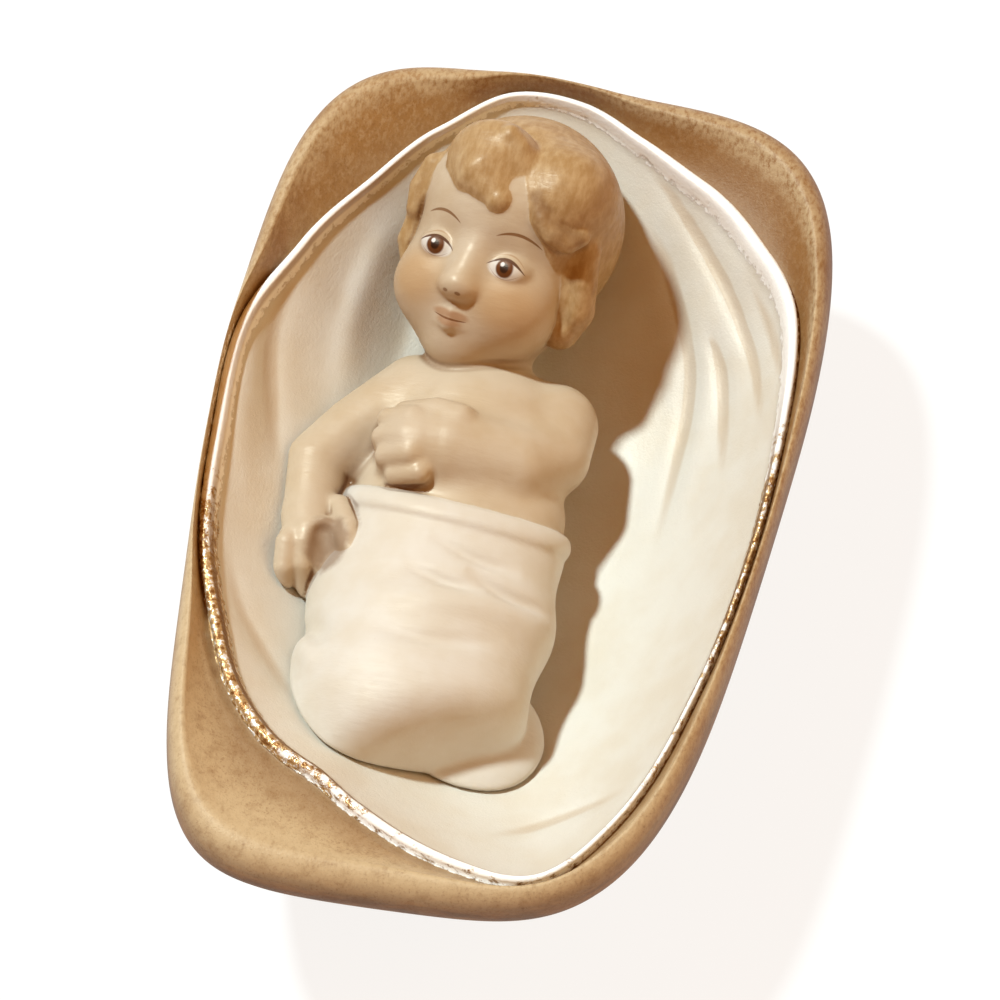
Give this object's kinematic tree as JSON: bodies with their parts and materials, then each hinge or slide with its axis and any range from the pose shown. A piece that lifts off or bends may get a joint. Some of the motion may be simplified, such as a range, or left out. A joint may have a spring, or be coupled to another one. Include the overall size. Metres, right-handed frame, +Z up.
{
  "type": "baby jesus figurine",
  "caption": "Carved and painted wooden infant lying loose in a trough cradle lined with a gold-edged cloth, for a nativity set.",
  "frame": {"origin": "middle of the flat underside of the cradle", "axes": "+Z up, +Y towards the head end, +X towards the left side of the infant"},
  "size_m": [0.0602, 0.0976, 0.0381],
  "materials": {
    "stained_wood": "matte brown stain over carved wood, with a cream painted cloth and a gilded border",
    "painted_wood": "matte oil paint over carved wood: skin, brown hair and cream swaddling"
  },
  "bodies": {
    "root": {"cradle": "stained_wood", "infant": "painted_wood"}
  },
  "joints": []
}
